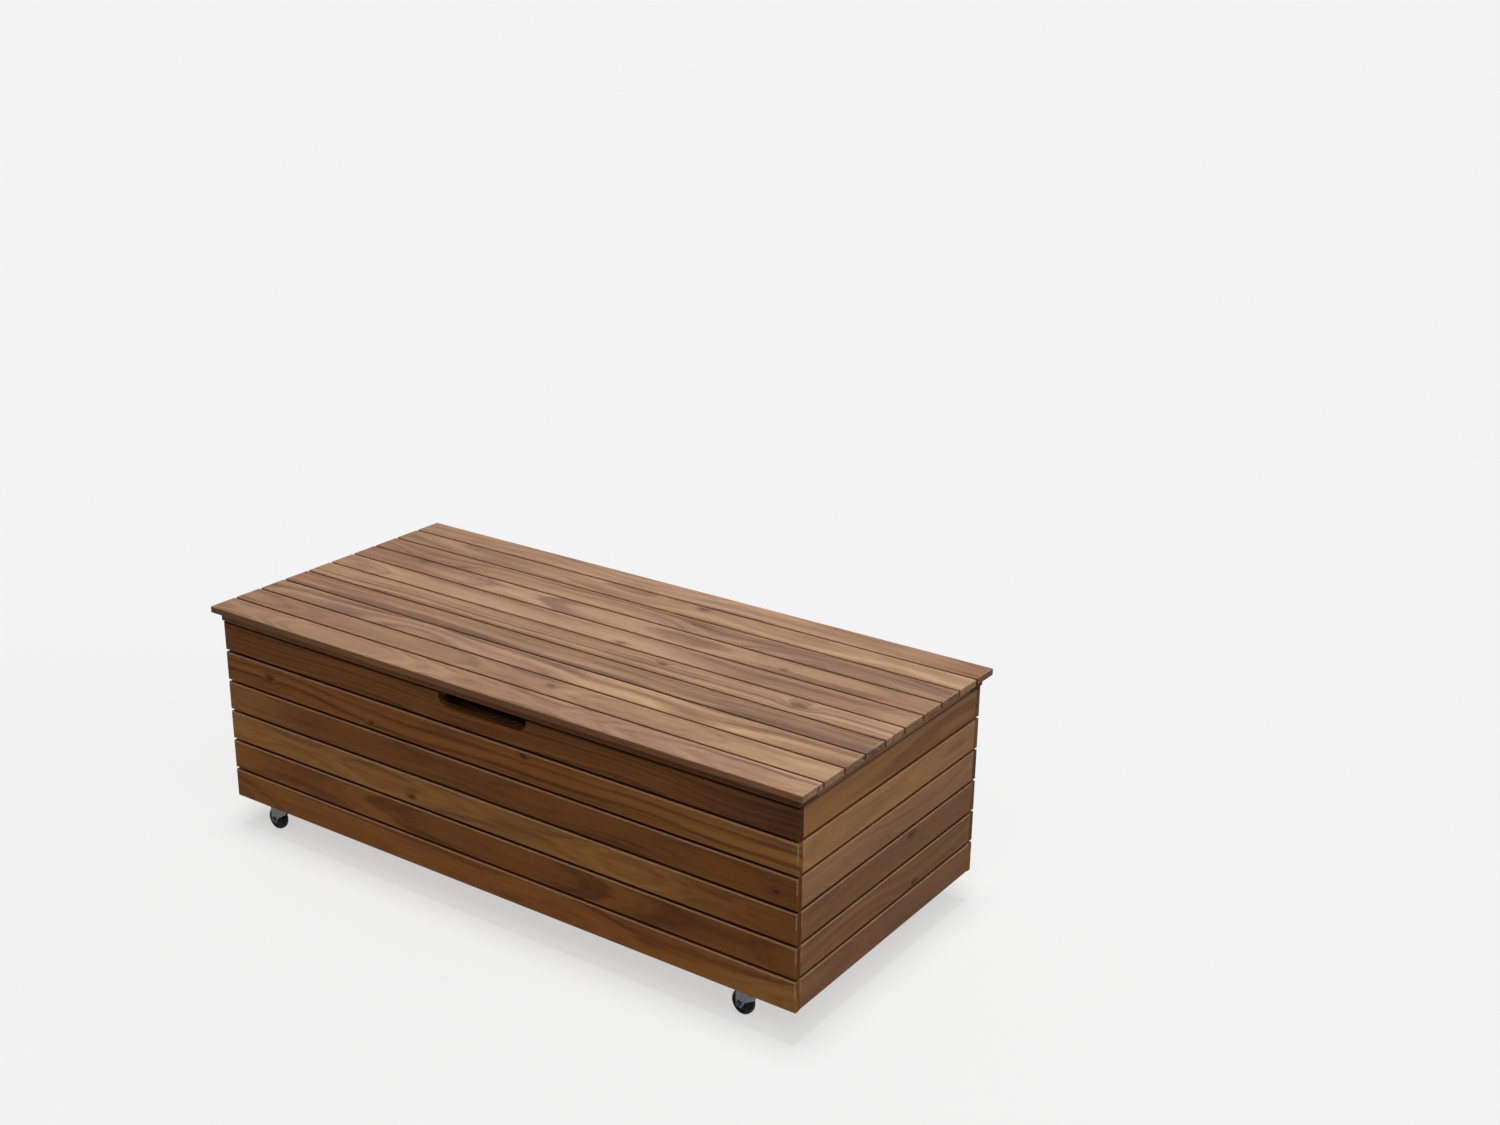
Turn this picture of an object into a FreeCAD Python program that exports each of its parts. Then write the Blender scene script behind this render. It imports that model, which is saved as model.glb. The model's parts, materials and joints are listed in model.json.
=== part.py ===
import FreeCAD, Part
import math
import os

# Slatted acacia deck storage box on four swivel casters, with a hinged lid and two slotted lid stays.
# Millimetres. +X runs along the box, +Y towards the hinged back, +Z up.
# The origin is on the floor under the middle of the lid.

Vector = FreeCAD.Vector
X, Y, Z = Vector(1, 0, 0), Vector(0, 1, 0), Vector(0, 0, 1)

# ---- driving dimensions -------------------------------------------------------------------------
lid_length = 1060.0

slat_width = 45.0
slat_gap = 4.0
slat_thick = 10.0
slat_round = 2.0             # eased outer edges of every slat
rail_round = 1.0             # eased outer edges of the lid frame
lid_rows = 10
wall_rows = 6

lid_overhang = 10.0          # lid slats beyond the lid frame
frame_reveal = 1.5           # lid frame beyond the walls
rail_width = 40.0            # lid frame, measured flat
rail_thick = 14.0
batten_x = 168.0             # cross battens and wall stiles each side of the middle

post_size = 30.0             # corner posts, square
stile_width = 30.0
stile_thick = 15.0
hinge_rail_depth = 25.0      # inner rail that the hinges are screwed to
hinge_rail_height = 30.0

ledger_size = 20.0           # square strip that carries the floor
ledger_screw_inset = 104.0   # outer ledger screw in from the swivel axis
bearer_width = 60.0
floor_thick = 10.0
floor_rows = lid_rows - 1

notch_length = 160.0         # hand notch in the top front slat
notch_depth = 20.0
notch_radius = 16.0

caster_inset_x = 78.5        # swivel axis in from the end wall's outer face
caster_inset_y = 25.0        # swivel axis in from the long wall's outer face
caster_trail = 20.0          # wheel axle behind the swivel axis
caster_turn = {"front_left": 4.0, "front_right": 9.0, "back_left": 6.0, "back_right": 2.0}
wheel_diameter = 36.0
wheel_width = 13.0
wheel_round = 3.0
wheel_gap = 1.2              # each side, wheel to fork leg
hub_diameter = 17.0
hub_step = 0.6
caster_plate_size = 34.0
caster_plate_thick = 2.0
plate_corner = 4.0
plate_screw_inset = 4.5      # screw hole to the plate's edge
fork_thick = 1.8
crown_gap = 3.0              # wheel to crown
crown_radius = 12.5
leg_front = 9.0              # fork leg ahead of the swivel axis, at the crown
leg_back_edge = 9.5          # fork leg's slanting edge ahead of the axle, under the crown
leg_drop = 6.0               # where that edge starts, below the crown
axle_radius = 2.5
axle_boss = 6.0
axle_head_radius = 4.2
axle_head_thick = 2.0
kingpin_radius = 3.0
kingpin_head_radius = 5.0
kingpin_head_thick = 1.2
race_height = 6.7
race_low_radius = 9.5
race_high_radius = 13.0
race_gap = 0.5

hinge_inset = 190.0          # hinge's middle in from the end of the lid frame
hinge_length = 70.0
hinge_leaf_depth = 30.0
leaf_thick = 0.85
leaf_gap = 0.3               # between the closed leaves
knuckle_radius = 3.0
knuckle_count = 5
knuckle_gap = 1.0            # knuckle to the lid frame's back face
hinge_pin_radius = 1.5
pin_head_radius = 2.4
pin_head_thick = 1.0
hinge_screw_length = 14.0
hinge_screw_radius = 1.5
hinge_screw_head = 3.0
hinge_screw_pitch = 25.0
hinge_screw_zigzag = 5.0
hinge_screw_inset = 19.0     # middle screw in from the lid frame's back face

lid_opening = 95.0           # degrees, where the stays' slots end
stay_closed_angle = 9.0      # degrees between wall stud and lid pivot, seen from the hinge pin
stay_floor_room = 10.0       # stay's tip above the floor, lid closed
stay_bracket_room = 0.5      # arm's round end to the bracket's foot
stay_plane = 8.8             # wall's inner face to the middle of the stay
stay_thick = 2.0
stay_width = 14.0
stay_end = 8.0
stud_radius = 2.9
stud_head_radius = 6.0
stud_head_thick = 2.5
stud_collar_radius = 4.5
bracket_thick = 1.5
bracket_foot = 18.0
bracket_screw_spread = 8.4
rivet_radius = 2.5
rivet_head_radius = 5.0
rivet_head_thick = 1.6
rivet_tail_radius = 4.0
rivet_tail_thick = 1.2
bumper_radius = 6.0

screw_radius = 1.75
screw_head_radius = 3.5
screw_head_thick = 2.0
screw_bite = 7.0             # thread left in a slat
deep_bite = 12.0             # thread left in a floor bearer
screw_stagger = 8.0          # keeps the two directions of screws in a post apart

running = 0.05               # radial clearance of a pin in its hole
fastener_clearance = 0.1     # screw in its hole
side_clearance = 0.3         # between moving faces
slot_clearance = 0.3         # stud to the slot's ends
pad_clearance = 0.3          # soft pad to what lies on it

# ---- places worked out from them ----------------------------------------------------------------
pitch = slat_width + slat_gap
lid_depth = lid_rows * pitch - slat_gap
frame_length = lid_length - 2 * lid_overhang
frame_depth = lid_depth - 2 * lid_overhang
wall_x = frame_length / 2 - frame_reveal          # outer faces of the walls
wall_y = frame_depth / 2 - frame_reveal
inner_x = wall_x - slat_thick                     # inner faces of the walls
inner_y = wall_y - slat_thick
wheel_radius = wheel_diameter / 2
crown_bottom = wheel_diameter + crown_gap
crown_top = crown_bottom + fork_thick
race_bottom = crown_top + race_gap
plate_bottom = race_bottom + race_height
wall_bottom = plate_bottom + caster_plate_thick
wall_top = wall_bottom + wall_rows * pitch - slat_gap
lid_gap = 2 * leaf_thick + leaf_gap               # walls to lid frame
frame_bottom = wall_top + lid_gap
frame_top = frame_bottom + rail_thick
lid_top = frame_top + slat_thick
rail_inner_y = frame_depth / 2 - rail_width
rail_middle_x = frame_length / 2 - rail_width / 2
ledger_top = wall_bottom + ledger_size
floor_top = ledger_top + floor_thick
post_x = inner_x - post_size / 2
post_y = inner_y - post_size / 2
swivel_x = wall_x - caster_inset_x
swivel_y = wall_y - caster_inset_y
hinge_x = frame_length / 2 - hinge_inset
pin_y = frame_depth / 2 + knuckle_gap + knuckle_radius
pin_z = wall_top + lid_gap / 2
corners = {"front_left": (-1, -1), "front_right": (1, -1), "back_left": (-1, 1), "back_right": (1, 1)}


# ---- shape helpers ------------------------------------------------------------------------------
def block(x0, x1, y0, y1, z0, z1):
    return Part.makeBox(x1 - x0, y1 - y0, z1 - z0, Vector(x0, y0, z0))


def rod(start, direction, radius, length):
    return Part.makeCylinder(radius, length, start, direction)


def between(start, end, radius):
    return rod(start, end - start, radius, (end - start).Length)


def edges_on(shape, axis, place):
    """Edges that lie in the plane where the given axis ("x", "y" or "z") has the given place."""
    low, high = axis.upper() + "Min", axis.upper() + "Max"
    return [e for e in shape.Edges
            if abs(getattr(e.BoundBox, low) - place) < 1e-4
            and abs(getattr(e.BoundBox, high) - place) < 1e-4]


def eased(shape, axis, place, radius=slat_round):
    return shape.makeFillet(radius, edges_on(shape, axis, place))


def group(shapes):
    return Part.makeCompound(shapes)


def near(a, b, room=0.5):
    """True if the boxes around two shapes touch."""
    box = FreeCAD.BoundBox(a.BoundBox)
    box.enlarge(room)
    return box.intersect(b.BoundBox)


def drilled(shape, holes):
    """The shape with those holes cut that reach it."""
    tools = [h for h in holes if near(shape, h, 0)]
    if not tools:
        return shape
    return shape.cut(group(tools)) if len(tools) > 1 else shape.cut(tools[0])


# ---- fasteners ----------------------------------------------------------------------------------
def screw(start, direction, length, grow=0.0, proud=False):
    """A wood screw. Its head's top is at start and flush, or proud of it."""
    n = Vector(direction).normalize()
    head_start = start - n * screw_head_thick if proud else start
    shank_start = head_start + n * screw_head_thick
    head = rod(head_start, n, screw_head_radius + grow, screw_head_thick)
    shank = rod(shank_start, n, screw_radius + grow, length - screw_head_thick + grow)
    if proud:
        shank = rod(shank_start, n, screw_radius + grow, length + grow)
    return head.fuse(shank).removeSplitter()


def screws_at(places, length, proud=False):
    """Screws and the holes for them, from (start, direction) pairs."""
    made = [screw(p, d, length, 0.0, proud) for p, d in places]
    holes = [screw(p, d, length, fastener_clearance, proud) for p, d in places]
    return made, holes


def flat_head_screw(start, direction, length, grow=0.0):
    """A countersunk hinge screw with its head flush at start."""
    n = Vector(direction).normalize()
    taper = hinge_screw_head - hinge_screw_radius
    cone = Part.makeCone(hinge_screw_head + grow, hinge_screw_radius + grow, taper, start, n)
    shank = rod(start + n * taper, n, hinge_screw_radius + grow, length - taper + grow)
    return cone.fuse(shank).removeSplitter()


def row_middle(row):
    """Height of the middle of a wall slat; row 1 is the top one."""
    return wall_top - slat_width / 2 - (row - 1) * pitch


def lid_row_middle(row):
    """Y of the middle of a lid slat; row 1 is at the front."""
    return -lid_depth / 2 + slat_width / 2 + (row - 1) * pitch


long_screw = post_size + screw_bite
stile_screw = stile_thick + screw_bite
lid_screw = rail_thick + screw_bite


def wall_screw_places():
    """Long places for screws through the posts, short ones for screws through the stiles."""
    through_posts, through_stiles = [], []
    for row in range(1, wall_rows + 1):
        high, low = row_middle(row) + screw_stagger, row_middle(row) - screw_stagger
        for sx, sy in corners.values():
            through_posts.append((Vector(sx * post_x, sy * (inner_y - post_size), high), Y * sy))
            through_posts.append((Vector(sx * (inner_x - post_size), sy * post_y, low), X * sx))
            if sy > 0 and row == 1:      # the hinge rail is in the way of the top ones at the back
                continue
            stile = Vector(sx * batten_x, sy * (inner_y - stile_thick), low)
            if low > ledger_top:
                through_stiles.append((stile, Y * sy))
    return through_posts, through_stiles


def hinge_rail_screw_places():
    beside_hinge = hinge_x - hinge_length
    near_end = post_x - post_size
    return [(Vector(s * x, inner_y - hinge_rail_depth, wall_top - hinge_rail_height / 2), Y)
            for s in (-1, 1) for x in (batten_x / 2, beside_hinge, near_end)]


def lid_screw_places():
    return [(Vector(s * x, lid_row_middle(row), frame_bottom), Z)
            for row in range(1, lid_rows + 1) for s in (-1, 1) for x in (rail_middle_x, batten_x)]


def floor_row_y(row):
    """Floor boards are spread evenly from wall to wall; row 0 is at the front."""
    first = -inner_y + slat_width / 2
    return first + row * (-2 * first) / (floor_rows - 1)


def floor_screw_places():
    return [(Vector(x, floor_row_y(row), floor_top), -Z)
            for row in range(1, floor_rows - 1) for x in (-swivel_x, 0.0, swivel_x)]


def ledger_screw_places():
    outer = swivel_x - ledger_screw_inset
    return [(Vector(s * x, sy * (inner_y - ledger_size), wall_bottom + ledger_size / 2), Y * sy)
            for sy in (-1, 1) for s in (-1, 1) for x in (batten_x, outer)]


def caster_screw_places():
    step = caster_plate_size / 2 - plate_screw_inset
    return [(Vector(sx * swivel_x + i * step, sy * swivel_y + j * step, wall_bottom - caster_plate_thick), Z)
            for sx, sy in corners.values() for i in (-1, 1) for j in (-1, 1)]


# ---- walls --------------------------------------------------------------------------------------
def long_wall_slat(row, side):
    """A front (side -1) or back (side 1) slat, which covers the ends of the side slats."""
    z = row_middle(row)
    y0, y1 = sorted((side * inner_y, side * wall_y))
    board = block(-wall_x, wall_x, y0, y1, z - slat_width / 2, z + slat_width / 2)
    return eased(board, "y", side * wall_y)


def short_wall_slat(row, side):
    z = row_middle(row)
    x0, x1 = sorted((side * inner_x, side * wall_x))
    board = block(x0, x1, -inner_y, inner_y, z - slat_width / 2, z + slat_width / 2)
    return eased(board, "x", side * wall_x)


def hand_notch():
    """The cutter for the notch: a slot with round lower corners, open at the top."""
    z0 = wall_top - notch_depth
    x = notch_length / 2
    body = block(-x, x, -wall_y - 1, -inner_y + 1, z0, wall_top + notch_radius + 1)
    lower = [e for e in edges_on(body, "z", z0) if abs(e.tangentAt(e.FirstParameter).y) > 0.9]
    return body.makeFillet(notch_radius, lower)


def corner_post(sx, sy):
    x0, x1 = sorted((sx * (inner_x - post_size), sx * inner_x))
    y0, y1 = sorted((sy * (inner_y - post_size), sy * inner_y))
    return block(x0, x1, y0, y1, wall_bottom, wall_top)


def stile(sx, sy):
    top = wall_top - (hinge_rail_height if sy > 0 else 0)
    y0, y1 = sorted((sy * (inner_y - stile_thick), sy * inner_y))
    x = sx * batten_x
    return block(x - stile_width / 2, x + stile_width / 2, y0, y1, floor_top, top)


def hinge_rail():
    x = inner_x - post_size
    return block(-x, x, inner_y - hinge_rail_depth, inner_y, wall_top - hinge_rail_height, wall_top)


# ---- floor --------------------------------------------------------------------------------------
def floor_frame():
    x = inner_x - post_size
    y = inner_y - ledger_size
    parts = [block(-x, x, min(s * y, s * inner_y), max(s * y, s * inner_y), wall_bottom, ledger_top)
             for s in (-1, 1)]
    parts += [block(c - bearer_width / 2, c + bearer_width / 2, -y, y, wall_bottom, ledger_top)
              for c in (-swivel_x, 0.0, swivel_x)]
    return parts


def floor_board(row):
    """A floor board; the outer ones run between the posts and the stiles stand on them."""
    outer = row in (0, floor_rows - 1)
    x = inner_x - (post_size if outer else 0)
    y = floor_row_y(row)
    return block(-x, x, y - slat_width / 2, y + slat_width / 2, ledger_top, floor_top)


# ---- lid ----------------------------------------------------------------------------------------
def lid_slat(row):
    x = lid_length / 2
    y0 = lid_row_middle(row) - slat_width / 2
    board = block(-x, x, y0, y0 + slat_width, frame_top, lid_top)
    return eased(board, "z", lid_top)


def lid_long_rail(side):
    y0, y1 = sorted((side * rail_inner_y, side * frame_depth / 2))
    rail = block(-frame_length / 2, frame_length / 2, y0, y1, frame_bottom, frame_top)
    return eased(rail, "y", side * frame_depth / 2, 1.0)


def lid_cross_rail(x):
    """A side rail or cross batten with its middle at x."""
    half = rail_width / 2
    return block(x - half, x + half, -rail_inner_y, rail_inner_y, frame_bottom, frame_top)


# ---- hinges -------------------------------------------------------------------------------------
knuckle_step = hinge_length / knuckle_count


def hinge_leaf(middle, upper):
    """One leaf with its share of the knuckles. The upper leaf is on the lid, the lower on the box."""
    z0 = frame_bottom - leaf_thick if upper else wall_top
    z1 = z0 + leaf_thick
    x0 = middle - hinge_length / 2
    inner = pin_y - knuckle_radius - side_clearance
    leaf = block(x0, x0 + hinge_length, frame_depth / 2 - hinge_leaf_depth, inner, z0, z1)
    for k in range(knuckle_count):
        if (k % 2 == 1) != upper:
            continue
        a = x0 + k * knuckle_step + side_clearance / 2
        b = x0 + (k + 1) * knuckle_step - side_clearance / 2
        leaf = leaf.fuse(block(a, b, inner - 1, pin_y, z0, z1))
        leaf = leaf.fuse(between(Vector(a, pin_y, pin_z), Vector(b, pin_y, pin_z), knuckle_radius))
    bore = rod(Vector(x0 - 1, pin_y, pin_z), X, hinge_pin_radius + running, hinge_length + 2)
    return leaf.cut(bore).removeSplitter()


def hinge_pin(middle):
    length = hinge_length + 2 * side_clearance
    start = Vector(middle - length / 2, pin_y, pin_z)
    shaft = rod(start, X, hinge_pin_radius, length)
    left = rod(start, -X, pin_head_radius, pin_head_thick)
    right = rod(start + X * length, X, pin_head_radius, pin_head_thick)
    return shaft.fuse(left).fuse(right)


def hinge_screw_places(upper):
    y = frame_depth / 2 - hinge_screw_inset
    z, into = (frame_bottom - leaf_thick, Z) if upper else (wall_top + leaf_thick, -Z)
    return [(Vector(s * hinge_x + i * hinge_screw_pitch, y + abs(i) * hinge_screw_zigzag, z), into)
            for s in (-1, 1) for i in (-1, 0, 1)]


# ---- lid stays ----------------------------------------------------------------------------------
# Pivot and stud are equally far from the hinge pin, so the arm turns half as far as the lid.
pivot_z = frame_bottom - bracket_thick - stay_bracket_room - stay_width / 2
open_reach = pivot_z - floor_top - stay_floor_room - 2 * stay_end
stay_radius = open_reach / (2 * math.sin(math.radians(stay_closed_angle + lid_opening) / 2))
closed_reach = 2 * stay_radius * math.sin(math.radians(stay_closed_angle) / 2)
pivot_angle = math.asin((pin_z - pivot_z) / stay_radius)
stud_angle = pivot_angle + math.radians(stay_closed_angle)
pivot_y = pin_y - stay_radius * math.cos(pivot_angle)
stud_y = pin_y - stay_radius * math.cos(stud_angle)
stud_z = pin_z - stay_radius * math.sin(stud_angle)
stay_x = inner_x - stay_plane


def across(s, y, z, x_from, x_to, radius):
    """A round piece along X on side s, from one distance off the middle to another."""
    return between(Vector(s * x_from, y, z), Vector(s * x_to, y, z), radius)


def stay_arm(s):
    """The slotted arm in its closed place: from the lid pivot down past the wall stud."""
    half = stay_thick / 2
    down = (Vector(0, stud_y, stud_z) - Vector(0, pivot_y, pivot_z)).normalize()
    side = Vector(0, down.z, -down.y)

    def at(along, off):
        return Vector(stay_x - half, pivot_y, pivot_z) + down * along + side * off

    def round_ended(start, end, radius):
        edges = [Part.makeLine(at(start, radius), at(end, radius)),
                 Part.Arc(at(end, radius), at(end + radius, 0), at(end, -radius)).toShape(),
                 Part.makeLine(at(end, -radius), at(start, -radius)),
                 Part.Arc(at(start, -radius), at(start - radius, 0), at(start, radius)).toShape()]
        return Part.Face(Part.Wire(edges)).extrude(X * stay_thick)

    slot_radius = stud_radius + side_clearance
    arm = round_ended(0, open_reach + stay_end, stay_width / 2)
    arm = arm.cut(round_ended(closed_reach - slot_clearance, open_reach + slot_clearance, slot_radius))
    arm = arm.cut(rod(at(0, 0) - X, X, rivet_radius + running, stay_thick + 2))
    return arm if s > 0 else arm.mirror(Vector(0, 0, 0), X)


def stay_stud(s):
    """A shoulder screw in the wall: thread, collar, shoulder through the slot, and head."""
    collar_end = stay_x + stay_thick / 2 + side_clearance
    head_start = stay_x - stay_thick / 2 - side_clearance
    thread = across(s, stud_y, stud_z, inner_x + screw_bite, inner_x, screw_radius)
    collar = across(s, stud_y, stud_z, inner_x, collar_end, stud_collar_radius)
    shoulder = across(s, stud_y, stud_z, collar_end, head_start, stud_radius)
    head = across(s, stud_y, stud_z, head_start, head_start - stud_head_thick, stud_head_radius)
    return thread.fuse(collar).fuse(shoulder).fuse(head)


def stay_stud_hole(s):
    return across(s, stud_y, stud_z, inner_x + screw_bite + fastener_clearance, inner_x - 1,
                  screw_radius + fastener_clearance)


tab_inner = stay_x + stay_thick / 2 + side_clearance      # face of the lid bracket next to the arm


def stay_bracket(s):
    """An angle under the lid's side rail that carries the stay's pivot."""
    tab_outer = tab_inner + bracket_thick
    w = stay_width / 2
    x0, x1 = sorted((s * tab_inner, s * tab_outer))
    f0, f1 = sorted((s * (tab_outer - bracket_foot), s * tab_outer))
    tab = block(x0, x1, pivot_y - w, pivot_y + w, pivot_z, frame_bottom)
    tab = tab.fuse(across(s, pivot_y, pivot_z, tab_inner, tab_outer, w))
    foot = block(f0, f1, pivot_y - 2 * w, pivot_y + 2 * w, frame_bottom - bracket_thick, frame_bottom)
    hole = across(s, pivot_y, pivot_z, tab_inner - 1, tab_outer + 1, rivet_radius + running)
    return tab.fuse(foot).cut(hole).removeSplitter()


def stay_rivet(s):
    head_start = stay_x - stay_thick / 2 - side_clearance
    tab_outer = tab_inner + bracket_thick
    head = across(s, pivot_y, pivot_z, head_start - rivet_head_thick, head_start, rivet_head_radius)
    shaft = across(s, pivot_y, pivot_z, head_start, tab_outer, rivet_radius)
    tail = across(s, pivot_y, pivot_z, tab_outer, tab_outer + rivet_tail_thick, rivet_tail_radius)
    return head.fuse(shaft).fuse(tail)


def bracket_screw_places():
    x = tab_inner - bracket_foot / 2
    return [(Vector(s * x, pivot_y + j * bracket_screw_spread, frame_bottom - bracket_thick), Z)
            for s in (-1, 1) for j in (-1, 1)]


# ---- casters ------------------------------------------------------------------------------------
leg_inner = wheel_width / 2 + wheel_gap
leg_outer = leg_inner + fork_thick


def placed(shape, name):
    """Turns a caster piece about its swivel axis and carries it to its corner."""
    sx, sy = corners[name]
    made = shape.copy()
    made.rotate(Vector(0, 0, 0), Z, -caster_turn[name])
    made.translate(Vector(sx * swivel_x, sy * swivel_y, 0))
    return made


def caster_plate(name):
    """Top plate with the upper half of the swivel's ball race."""
    half = caster_plate_size / 2
    plate = block(-half, half, -half, half, plate_bottom, wall_bottom)
    upright = [e for e in plate.Edges if abs(e.tangentAt(e.FirstParameter).z) > 0.9]
    plate = plate.makeFillet(plate_corner, upright)
    race = Part.makeCone(race_low_radius, race_high_radius, race_height, Vector(0, 0, race_bottom), Z)
    plate = plate.fuse(race)
    plate = plate.cut(rod(Vector(0, 0, 0), Z, kingpin_radius + running, 2 * wall_bottom))
    sx, sy = corners[name]
    plate.translate(Vector(sx * swivel_x, sy * swivel_y, 0))
    return plate.removeSplitter()


def kingpin(name):
    """The swivel's rivet, with its formed head under the crown."""
    head_top = Vector(0, 0, crown_bottom - race_gap)
    head = rod(head_top, -Z, kingpin_head_radius, kingpin_head_thick)
    shaft = rod(head_top, Z, kingpin_radius, wall_bottom - head_top.z)
    return placed(head.fuse(shaft), name)


def fork_leg_outline():
    """Side view of a fork leg in the X-Z plane, axle end first, as the wheel trails towards -X."""
    boss = Vector(-caster_trail, 0, wheel_radius)
    front = Vector(leg_front, 0, crown_top)
    back = Vector(-caster_trail - axle_boss, 0, crown_top)
    knee = Vector(-caster_trail + leg_back_edge, 0, crown_bottom - leg_drop)
    low_left = boss - X * axle_boss
    low_right = boss + X * axle_boss
    bottom = boss - Z * axle_boss
    edges = [Part.makeLine(back, low_left),
             Part.Arc(low_left, bottom, low_right).toShape(),
             Part.makeLine(low_right, knee),
             Part.makeLine(knee, front),
             Part.makeLine(front, back)]
    return Part.Face(Part.Wire(edges))


def caster_fork(name):
    """Pressed steel fork: a crown round the swivel with two legs down to the axle."""
    leg = fork_leg_outline()
    legs = [leg.translated(Vector(0, y, 0)).extrude(Y * fork_thick) for y in (leg_inner, -leg_outer)]
    crown = rod(Vector(0, 0, crown_bottom), Z, crown_radius, fork_thick)
    deck = block(-caster_trail - axle_boss, leg_front, -leg_outer, leg_outer, crown_bottom, crown_top)
    fork = legs[0].fuse([legs[1], crown, deck]).removeSplitter()
    fork = fork.cut(rod(Vector(0, 0, crown_bottom - 1), Z, kingpin_radius + running, fork_thick + 2))
    hole_start = Vector(-caster_trail, -2 * leg_outer, wheel_radius)
    return placed(fork.cut(rod(hole_start, Y, axle_radius + running, 4 * leg_outer)), name)


def caster_axle(name):
    start = Vector(-caster_trail, -leg_outer, wheel_radius)
    shaft = rod(start, Y, axle_radius, 2 * leg_outer)
    head = rod(start - Y * axle_head_thick, Y, axle_head_radius, axle_head_thick)
    tail = rod(start + Y * 2 * leg_outer, Y, axle_head_radius, axle_head_thick)
    return placed(shaft.fuse(head).fuse(tail), name)


def caster_wheel(name):
    """Moulded wheel with a crowned tread and a raised hub on each face."""
    start = Vector(-caster_trail, -wheel_width / 2, wheel_radius)
    wheel = rod(start, Y, wheel_radius, wheel_width)
    rims = [e for e in wheel.Edges if e.Closed and abs(e.Curve.Radius - wheel_radius) < 1e-6]
    wheel = wheel.makeFillet(wheel_round, rims)
    hub_width = wheel_width + 2 * hub_step
    wheel = wheel.fuse(rod(start - Y * hub_step, Y, hub_diameter / 2, hub_width))
    wheel = wheel.cut(rod(start - Y * 2 * hub_step, Y, axle_radius + running, hub_width + 2 * hub_step))
    return placed(wheel.removeSplitter(), name)


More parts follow.
